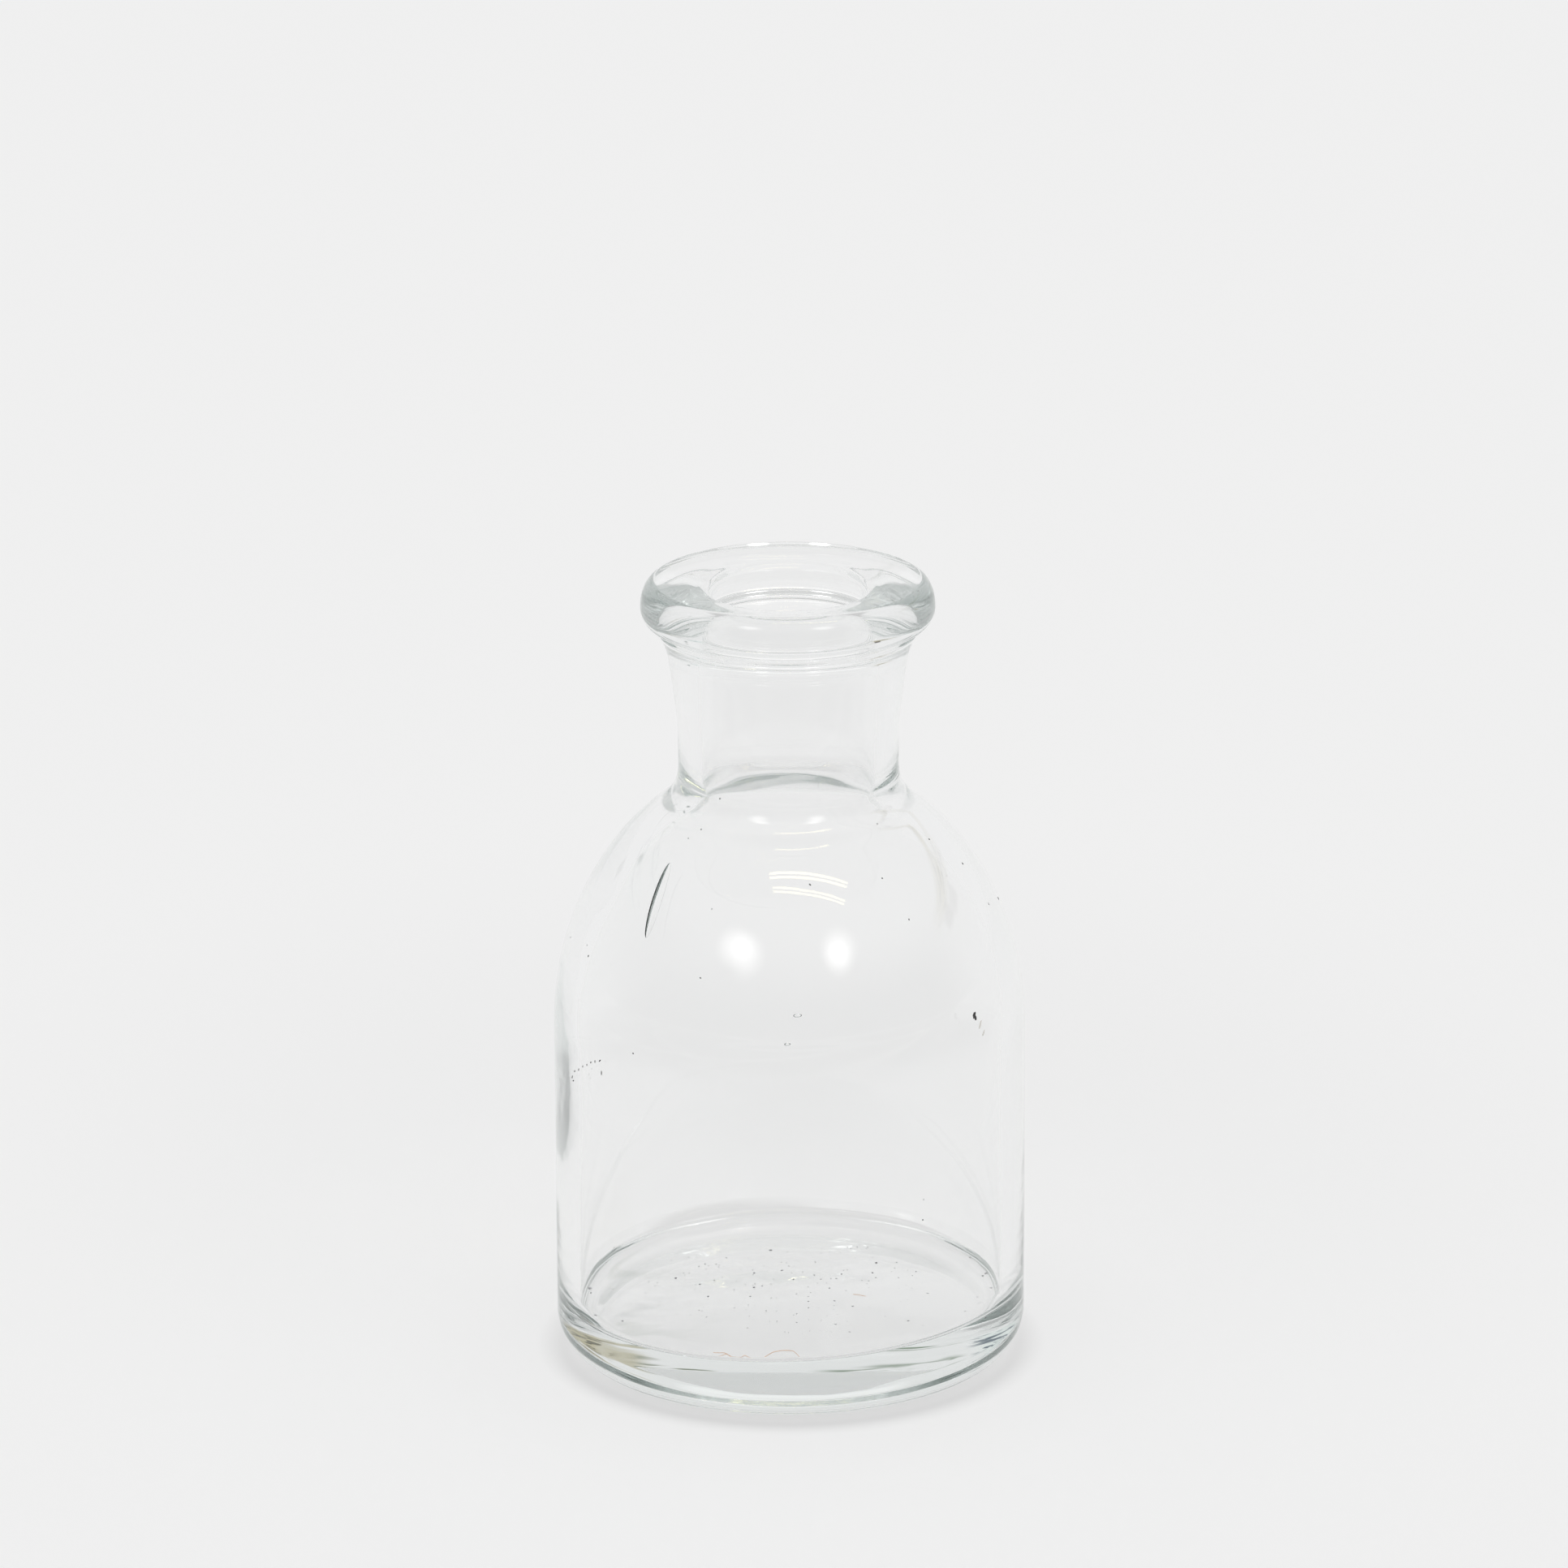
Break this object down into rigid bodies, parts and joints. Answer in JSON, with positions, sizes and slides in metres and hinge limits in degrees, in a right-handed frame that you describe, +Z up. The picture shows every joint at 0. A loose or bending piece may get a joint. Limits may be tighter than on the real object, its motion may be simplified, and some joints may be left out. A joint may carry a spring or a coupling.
{
  "type": "glass bud vase",
  "caption": "Small clear glass vase with a cylindrical body, rounded shoulder, waisted neck and rolled lip, for a single stem or a few short ones.",
  "frame": {"origin": "centre of the ring the vase stands on, at the height of the table", "axes": "+Z up along the vase's axis of revolution, out of its mouth; X and Y are equivalent, and the front that was modelled faces -Y"},
  "size_m": [0.0636, 0.0634, 0.108],
  "materials": {
    "glass": "fire-polished clear soda-lime glass with a faint grey-green cast, small seeds and mould marks"
  },
  "bodies": {
    "root": {"glass_vessel": "glass"}
  },
  "joints": []
}
